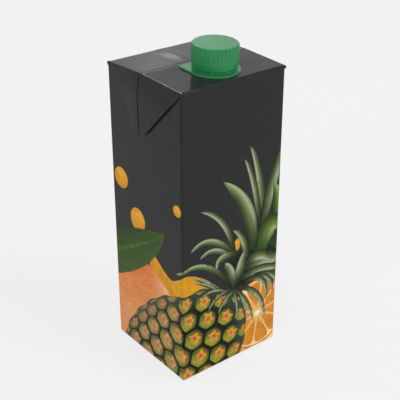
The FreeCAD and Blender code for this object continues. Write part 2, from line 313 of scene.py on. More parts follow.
def blade(tip, bend, base, half, tone, light_side):
    """A long leaf of the crown, from its tip down to where it leaves the fruit."""
    stations = [i / BLADE_STEPS for i in range(BLADE_STEPS + 1)]
    middle, pale, dark = (mix(a, b, tone) for a, b in zip(GREYISH, FRESH))

    def half_at(u, side):
        swell = 0.04 + 0.96 * math.sin(math.pi / 2 * clamp(1.45 * u) ** 0.8)
        return half * swell * (1 - 0.35 * max(u, 0) ** 3)

    at, local = along_leaf((tip, bend, base), half_at, 1, BLADE_STEPS)

    def shade(u, v):
        side = v * light_side
        streak = math.exp(-((side - 0.55) / 0.3) ** 2) * (1 - smooth(0.45, 0.95, u))
        colour = mix(middle, dark, 0.85 * smooth(0.15, -0.9, side))
        colour = mix(colour, pale, 0.9 * streak)
        colour = mix(colour, pale, 0.3 * smooth(0.3, 0.0, u))
        return mix(colour, dark, 0.85 * smooth(0.55, 1.0, u) + 0.3 * smooth(0.8, 1.0, abs(v)))

    outline = [at(u, 1) for u in stations] + [at(u, -1) for u in reversed(stations)]
    inside = [at(u, share) for share in (-0.6, -0.2, 0.2, 0.55, 0.8) for u in stations[1:]]
    return Shape("leaf", outline, inside, local, shade)


def polar(s, z, radius, squeeze=1.0):
    """The coordinates of a round field: share of its radius, and angle."""
    def local(a, b):
        across, up = (a - s) / squeeze, b - z
        return math.hypot(across, up) / radius, math.atan2(up, across)
    return local


def disc(s, z, radius, kind, shade, wobble=0.0, squeeze=1.0, rings=(0.5, 0.85), steps=36):
    """A round patch, a little uneven where wobble says so."""
    def at(share, angle):
        r = radius * share * (1 + wobble * wave(s, angle))
        return s + r * math.cos(angle) * squeeze, z + r * math.sin(angle)

    angles = [2 * math.pi * i / steps for i in range(steps)]
    inside = [at(share, angle) for share in rings for angle in angles[::3]] + [(s, z)]
    outline = [at(1, angle) for angle in angles]
    return Shape(kind, outline, inside, polar(s, z, radius, squeeze), shade)


def under_line(points, floor, kind, shade, steps=10):
    """Everything below a smooth line (Catmull and Rom's) through the points, down to a level."""
    line = []
    for i, (here, there) in enumerate(zip(points, points[1:])):
        before = points[max(i - 1, 0)]
        after = points[min(i + 2, len(points) - 1)]
        for t in (k / steps for k in range(steps)):
            line.append(tuple(
                0.5 * (2 * b + (c - a) * t + (2 * a - 5 * b + 4 * c - d) * t * t
                       + (3 * b - a - 3 * c + d) * t ** 3)
                for a, b, c, d in zip(before, here, there, after)))
    outline = [(points[0][0], floor), (points[-1][0], floor), points[-1]] + line[::-1]
    return Shape(kind, outline, [], lambda s, z: (s, z), shade)


AMBER = ink(226, 163, 60)
AMBER_DEEP = ink(208, 145, 46)
AMBER_PALE = ink(238, 185, 90)


def juice_shade(u, v):
    return mix(AMBER, AMBER_DEEP, 0.5 + 0.5 * wave(2.0, 0.12 * u + 0.2 * v))


def drop_shade(r, angle):
    colour = mix(AMBER, AMBER_DEEP, smooth(0.3, 1.0, r) * (0.5 - 0.5 * math.sin(angle)))
    return mix(colour, AMBER_PALE, 0.7 * smooth(0.9, 0.3, r) * smooth(0.2, 1.0, math.sin(angle)))


JUICE_LINE = ((-34, 84), (-27, 79.5), (-19, 74), (-11.5, 71), (-5, 74), (1, 77.8), (6, 77),
              (12, 74), (19, 69), (26, 62))
JUICE_FLOOR = 40  # other fruit covers the juice from here down
# place, radius and width against height of each drop
DROPS = ((-62.5, 121.3, 7.1, 1.0), (-45.6, 98.3, 8.3, 0.93), (-4.8, 121.3, 3.8, 1.0),
         (42.6, 86, 4.2, 0.6))


def draw_juice():
    yield under_line(JUICE_LINE, JUICE_FLOOR, "juice", juice_shade)
    for s, z, radius, squeeze in DROPS:
        yield disc(s, z, radius, "juice", drop_shade, wobble=0.03, squeeze=squeeze)


PEEL = ink(224, 142, 84)
PEEL_PALE = ink(238, 180, 134)
PEEL_DEEP = ink(218, 110, 60)
PEEL_MIDDLE, PEEL_RADIUS = (-52, 11), 62
PEEL_RINGS = (0.25, 0.45, 0.6, 0.7, 0.78, 0.85, 0.92, 0.97)


def peel_shade(r, angle):
    colour = mix(PEEL, PEEL_PALE, 0.5 * smooth(0.6, 0.1, r))
    colour = mix(colour, PEEL_DEEP, 0.9 * smooth(0.62, 0.95, r) * smooth(0.95, 1.5, angle))
    return mix(colour, PEEL_PALE, 0.9 * smooth(0.7, 0.97, r) * smooth(1.35, 0.9, angle))


def before_fold(s, z):
    """How far a place lies before the bent line that ends the peel, beyond the panel's edge."""
    return s + DEPTH + 2.5 - 0.0004 * (z - 30) ** 2


def draw_peel():
    """The orange behind the leaf."""
    shape = disc(*PEEL_MIDDLE, PEEL_RADIUS, "peel", peel_shade, rings=PEEL_RINGS, steps=72)
    shape.outline = clip_to(shape.outline, before_fold)
    shape.inside = [(s, z) for s, z in shape.inside if s > -DEPTH]
    yield shape


FLESH = ink(216, 148, 66)
FLESH_DEEP = ink(208, 128, 50)
FLESH_PALE = ink(234, 190, 120)
PITH = ink(246, 218, 172)
CORE = ink(248, 236, 214)
RIND = ink(226, 140, 48)
SLICES = ((48, -9, 30), (88, -22, 31), (61.5, 27.5, 26.5))  # place and radius of each
SEGMENTS = 10


def pith_shade(r, angle):
    return mix(PITH, FLESH_PALE, smooth(0.95, 0.6, r))


def flesh_shade(r, angle):
    streak = wave(3.0, 9 * angle)
    colour = mix(FLESH, FLESH_DEEP, clamp(0.45 + 0.5 * streak) * smooth(0.1, 0.6, r))
    return mix(colour, FLESH_PALE, 0.6 * smooth(0.3, 0.1, r) + 0.25 * smooth(0.85, 1.0, r))


def wedge(s, z, radius, start, end):
    """One segment of a cut orange, with round corners."""
    middle, half = (start + end) / 2, (end - start) / 2

    def at(share, turn):
        reach = 0.14 + 0.76 * share
        width = half * (1 - 0.30 * (1 - share) ** 3) * (1 - 0.25 * share ** 12)
        angle = middle + turn * (width - 0.022 / reach)
        return s + radius * reach * math.cos(angle), z + radius * reach * math.sin(angle)

    shares = [i / 8 for i in range(9)]
    turns = [i / 3 for i in range(-3, 4)]
    outline = ([at(share, -1) for share in shares] + [at(1.02, turn) for turn in turns[1:-1]]
               + [at(share, 1) for share in reversed(shares)])
    inside = [at(share, turn) for share in shares[1:-1:2] for turn in (-0.6, -0.2, 0.2, 0.6)]
    return Shape("flesh", outline, inside, polar(s, z, radius), flesh_shade)


def draw_slices():
    for s, z, radius in SLICES:
        yield disc(s, z, radius, "rind", lambda r, a: RIND)
        yield disc(s, z, radius * 0.955, "pith", pith_shade)
        for i in range(SEGMENTS):
            start = 2 * math.pi * (i + 0.3) / SEGMENTS
            yield wedge(s, z, radius, start, start + 2 * math.pi / SEGMENTS)
        yield disc(s, z, radius * 0.09, "pith", lambda r, a: CORE, wobble=0.3, steps=12)


LEAF_CURVE = ((-17.5, 100.5), (-35, 84), (-98, 52))  # its tip, its bend and its base
LEAF_END = 0.95  # it stops here on the way from tip to base
LEAF_TEETH = 22
TOOTH = (0.975, 0.99, 1.01)  # shares of the width in turn along its edge
LEAF_COLOUR = ink(68, 90, 44)
LEAF_UNDER = ink(80, 102, 64)
LEAF_DARK = ink(46, 66, 30)
LEAF_RIB = ink(112, 138, 92)


def draw_leaf():
    """The broad serrated leaf that lies over the peel."""
    stations = [LEAF_END * i / (3 * LEAF_TEETH) for i in range(3 * LEAF_TEETH + 1)]

    def half_at(u, side):
        closing = 1 - smooth(LEAF_END - 0.13, LEAF_END + 0.01, u) ** 2
        return (17.0 if side > 0 else 14.0) * math.sin(1.95 * clamp(u)) * closing

    at, local = along_leaf(LEAF_CURVE, half_at, LEAF_END, 30, 0.2)

    def edge(side):
        return [at(u, side * TOOTH[i % 3]) for i, u in enumerate(stations)]

    def shade(u, v):
        colour = mix(LEAF_COLOUR, LEAF_DARK, 0.6 * smooth(-0.2, -0.9, v) * smooth(0.2, 0.7, u))
        colour = mix(colour, LEAF_UNDER, 0.5 * smooth(0.1, 0.8, v))
        rib = math.exp(-((v + 0.02) / 0.05) ** 2)
        return mix(mix(colour, LEAF_RIB, 0.5 * rib), LEAF_UNDER, 0.8 * smooth(0.85, 1, v))

    inside = [at(u, side * share) for u in stations[3::3] for side in (1, -1)
              for share in (0.0, 0.12, 0.35, 0.6, 0.85)]
    yield Shape("broad_leaf", edge(1) + edge(-1)[::-1], inside, local, shade)


# the pineapple: its middle, its long and short half axes, and the turn of its long axis
FRUIT = (-8.0, 5.0)
FRUIT_LONG, FRUIT_SHORT = 66.0, 47.0
FRUIT_TURN = math.radians(45)
FRUIT_BLUNT = 2.25  # 2 makes its outline an ellipse, and more fills out the corners
FRUIT_BUMP, FRUIT_BUMPS = 0.010, 22  # depth and number of the bumps in its outline
EYE_PITCH = 15.2  # eye to eye along the fruit
EYE_COLUMN = 0.31  # radians round the fruit from one column of eyes to the next
EYE_STRETCH = 1.10  # an eye is a little wider than it is long
EYE_GROOVE = 0.60  # half the groove between two eyes
STAR_POINTS = 5  # petals of the dry flower in an eye

GROOVE = ink(46, 52, 42)
GROOVE_PALE = ink(84, 92, 84)
RIM = (ink(172, 170, 72), ink(176, 158, 92))
FLESHY = (ink(196, 128, 66), ink(190, 142, 100))
GREEN = (ink(100, 114, 50), ink(118, 120, 78))
STAR_HEART = (ink(176, 96, 50), ink(186, 120, 82))
STAR_TIP = (ink(226, 160, 84), ink(214, 160, 112))


def fruit_norm(along, across):
    """0 in the middle of the fruit and 1 on its outline."""
    return (abs(along / FRUIT_LONG) ** FRUIT_BLUNT
            + abs(across / FRUIT_SHORT) ** FRUIT_BLUNT) ** (1 / FRUIT_BLUNT)


def fruit_place(along, across):
    """Place on the panels of a point given along and across the fruit."""
    c, s = math.cos(FRUIT_TURN), math.sin(FRUIT_TURN)
    return FRUIT[0] + along * c - across * s, FRUIT[1] + along * s + across * c


def fruit_local(s, z):
    """Place along and across the fruit of a point of the panels."""
    c, n = math.cos(FRUIT_TURN), math.sin(FRUIT_TURN)
    ds, dz = s - FRUIT[0], z - FRUIT[1]
    return ds * c + dz * n, dz * c - ds * n


def in_fruit(outline):
    """The part of an outline that lies on the fruit."""
    return clip_to(outline, lambda s, z: 0.985 - fruit_norm(*fruit_local(s, z)))


def groove_shade(along, across):
    return mix(GROOVE, GROOVE_PALE, 0.7 * smooth(0.75, 1, fruit_norm(along, across)))


def draw_body():
    steps = 120
    outline = []
    for angle in (2 * math.pi * i / steps for i in range(steps)):
        along, across = FRUIT_LONG * math.cos(angle), FRUIT_SHORT * math.sin(angle)
        reach = (1 + FRUIT_BUMP * math.cos(FRUIT_BUMPS * angle)) / fruit_norm(along, across)
        outline.append(fruit_place(along * reach, across * reach))
    yield Shape("fruit", outline, [], fruit_local, groove_shade)


def eye(column, row):
    """One eye of the fruit: a hexagon with a green rim and a star of dry petals in it."""
    turn = EYE_COLUMN * column + 0.12
    along = EYE_PITCH * (row + (column % 2) / 2) - 1.5
    across = FRUIT_SHORT * math.sin(turn) * (1 - 0.15 * smooth(0.5, 1, abs(along) / FRUIT_LONG))
    if abs(turn) > 1.45 or fruit_norm(along, across) > 1.04:
        return
    seed = column * 7.3 + row * 3.1
    end_on = math.sqrt(max(1 - (along / (FRUIT_LONG + 8)) ** 2, 0.1))
    long_half = (EYE_PITCH / 2 - EYE_GROOVE) * (0.4 + 0.6 * end_on)
    wide_half = ((EYE_PITCH / 2 * EYE_STRETCH - EYE_GROOVE) * max(math.cos(turn), 0.25)
                 * (0.5 + 0.5 * end_on))

    def at(share, angle, lift=0.0):
        folded = (angle + math.pi / 6) % (math.pi / 3) - math.pi / 6
        reach = share * min(1 / math.cos(folded), 1.10) * (1 + 0.04 * wave(seed, 2 * angle))
        return fruit_place(along + long_half * (lift + reach * math.cos(angle)),
                           across + wide_half * reach * math.sin(angle))

    warm = smooth(12, -24, fruit_place(along, across)[0])
    turned = smooth(0.55, 1.2, abs(turn))
    rim, flesh, green, heart, petal = (
        mix(*pair, warm) for pair in (RIM, FLESHY, GREEN, STAR_HEART, STAR_TIP))
    more = 0.5 + 0.5 * wave(seed, 2.0)

    def local(s, z):
        a, c = fruit_local(s, z)
        return (a - along) / long_half, (c - across) / wide_half

    def shade(u, v):
        r = math.hypot(u, v)
        colour = mix(green, rim, smooth(0.6, -0.7, u + 0.5 * v) * (0.6 + 0.4 * more))
        colour = mix(colour, flesh, (0.5 + 0.4 * more) * smooth(0.75, 0.3, math.hypot(u - 0.2, v)))
        colour = mix(colour, GROOVE, (0.35 + 0.5 * smooth(-0.6, 0.6, u - v)) * smooth(0.7, 1.1, r))
        return mix(colour, GROOVE, 0.35 * turned)

    def star_shade(u, v):
        r = math.hypot(u - 0.1, v)
        colour = mix(mix(heart, petal, smooth(0.05, 0.4, r)), rim, 0.65 * smooth(0.4, 0.9, r))
        colour = mix(colour, green, 0.45 * smooth(-0.1, -0.7, u - 0.6 * v))
        return mix(colour, GROOVE, 0.3 * turned)

    steps = 18
    angles = [2 * math.pi * (i + 0.5) / steps for i in range(steps)]
    inside = [at(share, a) for share, every in ((0.8, 1), (0.5, 2), (0.2, 3))
              for a in angles[::every]]
    yield Shape("eye", in_fruit([at(1, a) for a in angles]), inside, local, shade)

    star = []
    for i in range(2 * STAR_POINTS):
        angle = math.pi * (i + 1.6 * more + 0.25 * wave(seed, 7 * i)) / STAR_POINTS
        reach = 0.42 + 0.12 * wave(seed, 5 * i) if i % 2 else 0.78 + 0.22 * wave(seed, 3 * i)
        star.append(at(reach, angle, 0.1))
    yield Shape("eye", in_fruit(star), [at(0.12, a, 0.1) for a in angles[::4]], local, star_shade)


def draw_eyes():
    for column in range(-4, 6):
        for row in range(-4, 5):
            yield from eye(column, row)


# leaves of the crown from the back to the front:
# tip, bend and base, half the width, how fresh its green is, and which side is light
CROWN = (
    ((51.5, 150), (62, 132), (64, 92), 3.3, 0.3, -1),
    ((47, 143), (57, 128), (61, 92), 2.6, 0.2, -1),
    ((80, 146), (70, 124), (62, 88), 4.6, 0.3, 1),
    ((71.5, 121), (78, 108), (75, 84), 4.6, 0.9, 1),
    ((84, 84), (68, 104), (60, 70), 8.5, 0.9, 1),
    ((31, 132.5), (56, 112), (55, 78), 5.9, 0.4, 1),
    ((14, 118), (36, 110), (40, 80), 2.7, 0.2, -1),
    ((6, 93), (20, 104), (41, 79), 2.9, 0.3, 1),
    ((13, 86), (24, 94), (40, 76), 2.5, 0.1, 1),
    ((39, 97), (50, 92), (51, 70), 2.9, 0.2, -1),
    ((26.5, 74), (26, 84), (43, 79), 3.2, 0.3, 1),
    ((82, 62), (66, 70), (50, 66), 6.5, 0.5, 1),
    ((72, 63), (64, 76), (50, 70), 4.4, 0.1, 1),
    ((-7, 77), (14, 92), (36, 60), 2.5, 0.3, 1),
    ((80, 55), (66, 64), (46, 60), 3.6, 0.2, 1),
    ((48, 79), (48, 70), (42, 58), 4.6, 0.1, -1),
    ((33, 76), (38, 70), (40, 56), 4.0, 0.1, 1),
    ((7.5, 75), (16, 70), (34, 54), 1.5, 0.2, 1),
    ((8, 71), (18, 68), (33, 52), 1.3, 0.1, 1),
    ((15, 58), (24, 62), (38, 52), 1.5, 0.0, 1),
    ((20, 46), (26, 56), (40, 54), 1.5, 0.0, 1),
    ((28, 40), (31, 52), (44, 54), 1.6, 0.1, -1),
    ((80, 36), (80, 56), (58, 58), 2.2, 0.3, 1),
    ((74, 38), (75, 56), (54, 57), 2.2, 0.2, 1),
    ((69, 34), (70, 58), (50, 56), 2.3, 0.2, 1),
    ((68, 21), (66, 46), (44, 54), 2.3, 0.1, 1),
    ((58, 22), (54, 40), (42, 54), 1.7, 0.1, 1),
    ((52, 25), (50, 42), (41, 55), 1.5, 0.0, -1),
    ((44, 28), (45, 42), (40, 56), 1.5, 0.1, 1),
)
# dark ground where the leaves meet: place, radius, and width against height of each patch
HEART = ((56, 80, 11, 0.8), (47, 66, 13, 1.0), (63, 66, 11, 1.2))
HEART_GREEN = ink(44, 56, 36)


def draw_crown():
    for s, z, radius, squeeze in HEART:
        yield disc(s, z, radius, "leaf", lambda r, a: HEART_GREEN, 0.1, squeeze)
    for tip, bend, base, half, tone, side in CROWN:
        yield blade(tip, bend, base, half, tone, side)


def moved(shape, shift):
    """The same shape further round the carton. What reaches the next panel stops at its edge."""
    outline = [(s + shift, z) for s, z in shape.outline]
    if shift < 0 and shape.kind == "leaf":
        outline = clip_to(outline, lambda s, z: -DEPTH - 0.2 - s)
    return Shape(shape.kind, outline, [(s + shift, z) for s, z in shape.inside],
                 lambda s, z: shape.local(s - shift, z), shape.shade)


def draw_print():
    """All shapes of the print, the lowest first, with the design's second copy."""
    shapes = []
    for draw in (draw_juice, draw_slices, draw_peel, draw_leaf, draw_body, draw_eyes, draw_crown):
        for shape in draw():
            shapes += [moved(shape, shift) for shift in (-GIRTH / 2, 0, GIRTH / 2)]
    return [shape for shape in shapes if len(shape.outline) > 2]


# ---------- the sleeve that carries it

SEAM_S = -DEPTH - HALF_WIDTH - SEAM_HALF  # the sleeve starts and ends at this edge of the seam
STEP = 0.05  # room in s for the upright face of the seam


def ring_places():
    """s, x, y, the outward direction and the seam's share of every corner of the sleeve's plan."""
    places = []
    corners = ((-1, -1, 180, 0), (1, -1, 270, WIDTH), (1, 1, 0, WIDTH + DEPTH), (-1, 1, 90, -DEPTH))
    for side_x, side_y, start, s_corner in corners:
        for k in range(UPRIGHT_STEPS + 1):
            angle = math.radians(start + 90 * k / UPRIGHT_STEPS)
            s = s_corner + UPRIGHT_ROUND * (2 * k / UPRIGHT_STEPS - 1)
            nx, ny = math.cos(angle), math.sin(angle)
            places.append((s, side_x * (HALF_WIDTH - UPRIGHT_ROUND) + UPRIGHT_ROUND * nx,
                           side_y * (HALF_DEPTH - UPRIGHT_ROUND) + UPRIGHT_ROUND * ny, nx, ny, 0))
    end = SEAM_S + GIRTH
    for s, x, proud in ((SEAM_S, SEAM_HALF, 1), (SEAM_S + 2 * SEAM_HALF, -SEAM_HALF, 1),
                        (SEAM_S + 2 * SEAM_HALF + STEP, -SEAM_HALF, 0),
                        (end - STEP, SEAM_HALF, 0), (end, SEAM_HALF, 1)):
        places.append((s, x, HALF_DEPTH, 0, 1, proud))
    return sorted(places)


RING = ring_places()
GRID = 3.5  # spacing of the points that carry broad shading
GRID_TOP = 95.0  # height of the highest broad shading


def on_sleeve(s, t):
    """Place and outward direction of a point of the sleeve.

    t is the height above the bottom edge. Below 0 it runs round that edge.
    """
    index = 1
    while index < len(RING) - 1 and RING[index][0] < s - 1e-7:
        index += 1
    a, b = RING[index - 1], RING[index]
    share = clamp((s - a[0]) / (b[0] - a[0]))
    x, y, nx, ny, proud = (p + (q - p) * share for p, q in zip(a[1:], b[1:]))
    length = math.hypot(nx, ny)
    turn = clamp(-t / BASE_ROUND, 0, math.pi / 2)
    inset = BASE_ROUND * (1 - math.cos(turn))
    lift = SEAM_THICKNESS * proud * (1 - turn / (math.pi / 2))
    z = BASE_Z + BASE_ROUND * (1 - math.sin(turn)) + max(t, 0)
    place = Vector((x - nx * inset, y - ny * inset + lift, z))
    facing = Vector((nx / length * math.cos(turn), ny / length * math.cos(turn), -math.sin(turn)))
    return place, facing


def inside(ring, places):
    """Which of the places lie inside an outline."""
    across, up = places.T
    hit = np.zeros(len(places), bool)
    for (s0, t0), (s1, t1) in zip(ring, ring[1:] + ring[:1]):
        if t0 != t1:
            hit ^= ((t0 > up) != (t1 > up)) & (across < (s1 - s0) * (up - t0) / (t1 - t0) + s0)
    return hit


def over_foot(z):
    """Height over the bottom edge of the panels."""
    return z - BASE_Z - BASE_ROUND


def extent(outline):
    """Low and high corner of the box round an outline."""
    return np.min(outline, axis=0), np.max(outline, axis=0)


def cut_sheet(shapes):
    """Cuts the unrolled sleeve along every outline.

    Returns places in s and t, faces, and the topmost shape of each face.
    """
    top = over_foot(SLEEVE_TOP)
    left, right = SEAM_S, SEAM_S + GIRTH
    points, edges, outlines = [], [], []

    def add(ring):
        points.extend(ring)
        return list(range(len(points) - len(ring), len(points)))

    sheet = add([(left, SLEEVE_FOOT), (right, SLEEVE_FOOT), (right, top), (left, top)])
    for s, *_ in RING[1:-1]:
        edges.append(add([(s, SLEEVE_FOOT), (s, top)]))
    for level in (0.33 * SLEEVE_FOOT, 0.66 * SLEEVE_FOOT, 0):
        edges.append(add([(left, level), (right, level)]))
    for shape in shapes:
        outline = [(s, over_foot(z)) for s, z in shape.outline]
        outlines.append(outline)
        low, high = extent(outline)
        if high[0] > left and low[0] < right and high[1] > SLEEVE_FOOT:
            ring = add(outline)
            edges += list(zip(ring, ring[1:] + ring[:1]))
            add([(s, over_foot(z)) for s, z in shape.inside
                 if left < s < right and SLEEVE_FOOT < over_foot(z) < top])
    for i in range(1, int(GIRTH / GRID)):
        add([(left + i * GRID, j * GRID) for j in range(1, int(GRID_TOP / GRID))])
    places, _, faces, *_ = delaunay_2d_cdt(
        [Vector(p) for p in points], edges, [sheet], 1, 1e-4)
    middles = np.array([[sum(places[i][k] for i in face) / len(face) for k in (0, 1)]
                        for face in faces])
    kept = (middles[:, 0] > left) & (middles[:, 0] < right)
    middles, faces = middles[kept], [face for face, keep in zip(faces, kept) if keep]
    owners = np.full(len(faces), -1)
    for number, outline in enumerate(outlines):
        low, high = extent(outline)
        near = np.where((middles > low).all(1) & (middles < high).all(1))[0]
        owners[near[inside(outline, middles[near])]] = number
    return places, faces, [shapes[n] if n >= 0 else None for n in owners]


def set_corner(loop, layers, local, printed, colour, facing):
    """Gives a face corner its local and print coordinates, its ink and its shading direction."""
    loop[layers["local"]].uv = local
    loop[layers["print"]].uv = printed
    loop[layers["ink"]] = (*colour, 1)
    loop[layers["facing"]] = facing


SHARP = 0.8  # a face turned further than this cosine keeps its own direction


def add_sleeve(bm, layers):
    """The printed part of the skin, with its inks and coordinates."""
    points, faces, owners = cut_sheet(draw_print())
    verts, facings = {}, {}
    for i in sorted({i for face in faces for i in face}):
        place, facings[i] = on_sleeve(*points[i])
        verts[i] = bm.verts.new(place * MM)
    for face, owner in zip(faces, owners):
        try:
            new = bm.faces.new([verts[i] for i in face])
        except ValueError:  # the same corners carry a face already
            continue
        new.material_index = KINDS.index(owner.kind) if owner else 0
        new.normal_update()
        for loop, i in zip(new.loops, face):
            s, t = points[i]
            z = t + BASE_Z + BASE_ROUND
            local = owner.local(s, z) if owner else (s, z)
            colour = owner.shade(*local) if owner else BLACK
            facing = facings[i] if facings[i].dot(new.normal) > SHARP else new.normal
            set_corner(loop, layers, local, (s / 100, z / 100), colour, facing)


# ---------- the head and the underside

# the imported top, from front to back: its crest, and the fin's root and free edge
CREST_Y, ROOT_Y, FREE_Y = 0.15, 2.95, 12.55
CREST_Z, FREE_Z, BACK_Z = 196.2, 195.2, 194.4
GROOVE_WIDTH = 0.4  # the groove before the fin's root
EAR_PROUD = 2.1  # outer face of an ear off its side panel

# the real one
FIN_SLOPE = 0.045  # fall of the fin from the crest to its free edge
BEHIND_Z = CREST_Z - 0.60  # the top just behind the fin
BACK_RIM_Z = BACK_Z + 0.1
TOP_FROM, TOP_TO = 193.0, 194.2  # heights from which points move with the top, and fully do
GROOVE_FILLED, GROOVE_DEPTH = 0.92, 1.2  # this share of the groove is closed, down to this depth
EAR_CLOSE = 0.22  # share of EAR_PROUD at the rim, where the ear is folded down
EAR_FREE = 14.0  # the ear stands fully free this far below the rim
EAR_BACK = (2, 32)  # from front to back the ear closes between these
EAR_BACK_CLOSE = 0.7  # by this share
FIN_KEPT = 0.4  # share of the fin's thickness on the ears
SIDE_RIM = 1.3  # radius of the side edges of the top
STRAIGHT = 1.0  # the head stays as packed this far above the sleeve

# swellings of the top panel: middle, reach across x and along y, turn in degrees, and height
SWELLINGS = (
    (-1.0, 21, 4.6, 15, 0, 0.38),
    (-36.8, 0.9, 1.5, 1.5, 0, 0.16),
    (-37.2, -34.2, 1.5, 1.5, 0, 0.14),
    (22, 24, 12, 8, -20, 0.15),
    (24, -8, 12, 14, 10, 0.12),
)


def swelling(x, y):
    """What the swellings add to the height of the top."""
    total = 0.0
    for sx, sy, long, wide, turn, height in SWELLINGS:
        c, s = math.cos(math.radians(turn)), math.sin(math.radians(turn))
        along, across = (x - sx) * c + (y - sy) * s, (y - sy) * c - (x - sx) * s
        total += height * math.exp(-(along / long) ** 2 - (across / wide) ** 2)
    return total


def top_height(y):
    """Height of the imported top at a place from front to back."""
    return float(np.interp(y, (-HALF_DEPTH, CREST_Y, FREE_Y, FREE_Y + 1e-3),
                           (RIM_Z, CREST_Z, FREE_Z, BACK_Z)))


def real_top(x, y):
    """Height of the real top: the fin lies nearly flush in it, and the board swells a little."""
    if y < ROOT_Y:
        height = top_height(y)
    elif y < FREE_Y + 5e-4:
        height = CREST_Z - FIN_SLOPE * (y - CREST_Y)
    else:
        height = np.interp(y, (FREE_Y, HALF_DEPTH), (BEHIND_Z, BACK_RIM_Z))
    return float(height) + swelling(x, y)


def head_form(co):
    """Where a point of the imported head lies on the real, folded board."""
    x, y, z = co
    below = max(top_height(y) - z, 0)
    ear_kept = 1 - EAR_BACK_CLOSE * smooth(*EAR_BACK, y)
    # the ear is closed at the rim and at the back, and the fin lies flat on it
    proud = abs(x) - HALF_WIDTH
    if proud > 0:
        closed = (EAR_CLOSE + (1 - EAR_CLOSE) * smooth(0, EAR_FREE, below)) * ear_kept
        proud = min(proud, EAR_PROUD) * closed + max(proud - EAR_PROUD, 0) * FIN_KEPT
        x = math.copysign(HALF_WIDTH + proud, x)
    # on the top the groove beside the fin is shallow
    top = real_top(x, y)
    on_top = smooth(TOP_FROM, TOP_TO, z)
    if abs(y - FREE_Y) < 0.01 and z > BACK_Z - 0.05 and below > 0.02:
        z = real_top(x, FREE_Y + 1e-3)  # the fin's free edge has hardly a step left
    else:
        z += on_top * (top - top_height(y))
    if ROOT_Y - GROOVE_WIDTH - 1e-3 < y < ROOT_Y + 1e-3 and below > 0.05:
        z += on_top * GROOVE_FILLED * min(below, GROOVE_DEPTH)
    # the side edges of the top are round
    edge = HALF_WIDTH + EAR_PROUD * EAR_CLOSE * ear_kept
    u, v = abs(x) - (edge - SIDE_RIM), z - (top - SIDE_RIM)
    reach = math.hypot(u, v)
    if u > 0 and v > 0 and reach > SIDE_RIM:
        x = math.copysign(edge - SIDE_RIM + u * SIDE_RIM / reach, x)
        z = top - SIDE_RIM + v * SIDE_RIM / reach
    return x, y, z


def head_cuts():
    """Planes that give the head the points it needs to bend: axis, and place along it."""
    for y in np.arange(-34, 35, 2.5):
        yield 1, float(y)
    for z in (*np.arange(157, 192, 3.5), *np.arange(192.6, 196.2, 0.3)):
        yield 2, float(z)
    for x in np.arange(-36, 37, 3.0):
        yield 0, float(x)
    for inset in (1.2, 0.9, 0.6, 0.3, 0.0, -0.5, -1.1, -1.7):  # round the side edges
        yield 0, HALF_WIDTH - inset
        yield 0, inset - HALF_WIDTH


def add_rest(bm, layers):
    """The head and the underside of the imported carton, around the sleeve."""
    source = bmesh.new()
    source.from_mesh(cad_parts["carton"].data)
    bmesh.ops.remove_doubles(source, verts=source.verts, dist=1e-6)

    def cut(elements, axis, place):
        normal = [0, 0, 0]
        normal[axis] = 1
        bmesh.ops.bisect_plane(source, geom=elements, plane_co=[n * place * MM for n in normal],
                               plane_no=normal, dist=1e-7)

    cut(source.verts[:] + source.edges[:] + source.faces[:], 2, SLEEVE_TOP)
    gone = [face for face in source.faces
            if BASE_Z + 1e-3 < face.calc_center_median().z / MM < SLEEVE_TOP]
    bmesh.ops.delete(source, geom=gone, context="FACES")
    for axis, place in head_cuts():
        head = [face for face in source.faces if face.calc_center_median().z / MM > SLEEVE_TOP]
        around = {e for face in head for e in face.edges} | {v for face in head for v in face.verts}
        cut(head + list(around), axis, place)
    for vert in source.verts:
        if vert.co.z / MM > SLEEVE_TOP + STRAIGHT:
            vert.co = Vector(head_form(vert.co / MM)) * MM
    bmesh.ops.dissolve_degenerate(source, edges=source.edges, dist=2e-6)
    source.normal_update()
    facing = soft_facings(source)
    copies = {v: bm.verts.new(v.co) for v in source.verts}
    for face in source.faces:
        new = bm.faces.new([copies[v] for v in face.verts])
        for loop, direction in zip(new.loops, facing[face.index]):
            x, y, z = loop.vert.co / MM
            printed = (x / 100, (z + y) / 100)
            set_corner(loop, layers, (x / 100, y / 100), printed, BLACK, direction)
    source.free()


def soft_facings(bm, limit=math.cos(math.radians(32))):
    """Shading directions of each face's corners: neighbours within the limit blend, by area."""
    bm.faces.index_update()
    directions = []
    for face in bm.faces:
        corners = []
        for loop in face.loops:
            total = sum((other.normal * other.calc_area() for other in loop.vert.link_faces
                         if other.normal.dot(face.normal) > limit), Vector((0, 0, 0)))
            corners.append(total.normalized() if total.length > 0 else face.normal.copy())
        directions.append(corners)
    return directions


STITCH = 1e-5  # metres between edges that count as lying on each other


def stitch(bm, reach):
    """Joins open edges that lie on each other, by cutting each at the other's corners."""
    open_edges = [edge for edge in bm.edges if edge.is_boundary]
    open_verts = list({v for edge in open_edges for v in edge.verts})
    places = np.array([v.co[:] for v in open_verts])
    for edge in open_edges:
        a, b = (np.array(v.co[:]) for v in edge.verts)
        line = b - a
        length = np.linalg.norm(line)
        if length < 2 * reach:
            continue
        along = (places - a) @ line / length
        off = np.linalg.norm(places - a - np.outer(along / length, line), axis=1)
        hits = np.where((along > reach) & (along < length - reach) & (off < reach))[0]
        start, rest, done = edge.verts[0], edge, 0.0
        for k in sorted({round(float(along[h]), 8) for h in hits}):
            if k - done < reach:
                continue
            end = rest.other_vert(start)
            share = clamp((k - done) / (end.co - start.co).length)
            start = bmesh.utils.edge_split(rest, start, share)[1]
            rest = next(e for e in start.link_edges if e.other_vert(start) is end)
            done = k
    ends = [v for v in bm.verts if any(edge.is_boundary for edge in v.link_edges)]
    bmesh.ops.remove_doubles(bm, verts=ends, dist=reach)


